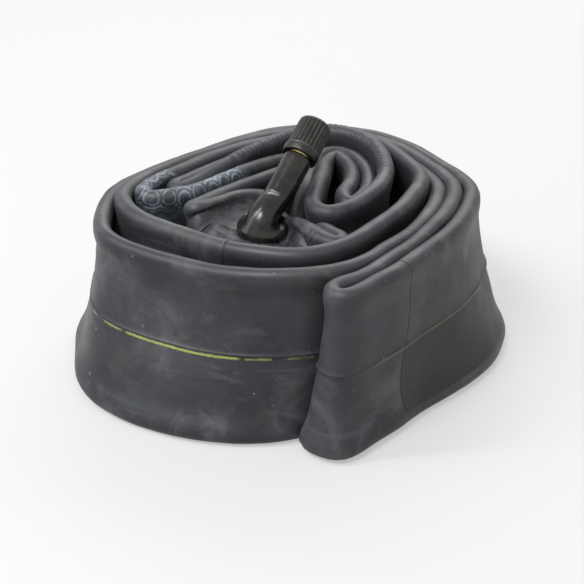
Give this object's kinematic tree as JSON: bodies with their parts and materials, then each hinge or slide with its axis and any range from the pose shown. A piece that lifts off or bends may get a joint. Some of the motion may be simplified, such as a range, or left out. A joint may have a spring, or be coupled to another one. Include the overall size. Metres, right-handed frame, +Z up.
{
  "type": "bicycle inner tube",
  "caption": "Deflated butyl bicycle inner tube, folded flat and rolled into a compact bundle, with a rubber-coated screw valve, spring valve core and ribbed dust cap.",
  "frame": {"origin": "centre of the bundle's footprint, on the surface it lies on", "axes": "+Z up; +Y is away from the outer fold's side, +X to the right seen from the front"},
  "size_m": [0.1282, 0.1332, 0.0696],
  "materials": {
    "butyl": "dull butyl with talc",
    "moulded_rubber": "glossy moulded",
    "brass": "turned",
    "core_brass": "turned",
    "spring_steel": "drawn wire",
    "seal_rubber": "matte",
    "cap_plastic": "moulded"
  },
  "bodies": {
    "tube": {"tube_body": "butyl"},
    "stem": {"valve_stem_rubber": "moulded_rubber", "valve_stem_brass": "brass"},
    "cap": {"dust_cap": "cap_plastic"},
    "core": {"core_barrel": "core_brass", "core_gasket": "seal_rubber", "core_spring": "spring_steel"},
    "swivel": {"core_swivel": "core_brass"},
    "plunger": {"core_pin": "spring_steel", "core_cup": "core_brass", "core_cup_seal": "seal_rubber"}
  },
  "joints": [
    {"name": "stem_flex", "type": "hinge", "parent": "tube", "child": "stem", "pos_m": [-0.00829, -0.01399, 0.04551], "axis": [0.8508, -0.5255, 0], "range_deg": [-3.5, 5], "stiffness_Nm_per_rad": 0.4, "deforming": ["valve_stem_rubber"]},
    {"name": "cap_lift", "type": "slide", "parent": "stem", "child": "cap", "axis": [0.4346, 0.7037, 0.5621], "range_m": [0, 0.016]},
    {"name": "core_rise", "type": "slide", "parent": "stem", "child": "core", "axis": [0.4346, 0.7037, 0.5621], "range_m": [0, 0.000706]},
    {"name": "core_turn", "type": "hinge", "parent": "core", "child": "swivel", "pos_m": [0.00475, 0.00712, 0.06237], "axis": [0.4346, 0.7037, 0.5621], "range_deg": [0, 360]},
    {"name": "pin_press", "type": "slide", "parent": "core", "child": "plunger", "axis": [-0.4346, -0.7037, -0.5621], "range_m": [0, 0.0012], "stiffness_N_per_m": 300, "springref_m": -0.001, "deforming": ["core_spring"]}
  ],
  "couplings": [
    {"joint": "core_turn", "follows": "core_rise", "rad_per_m": 8896.8}
  ]
}
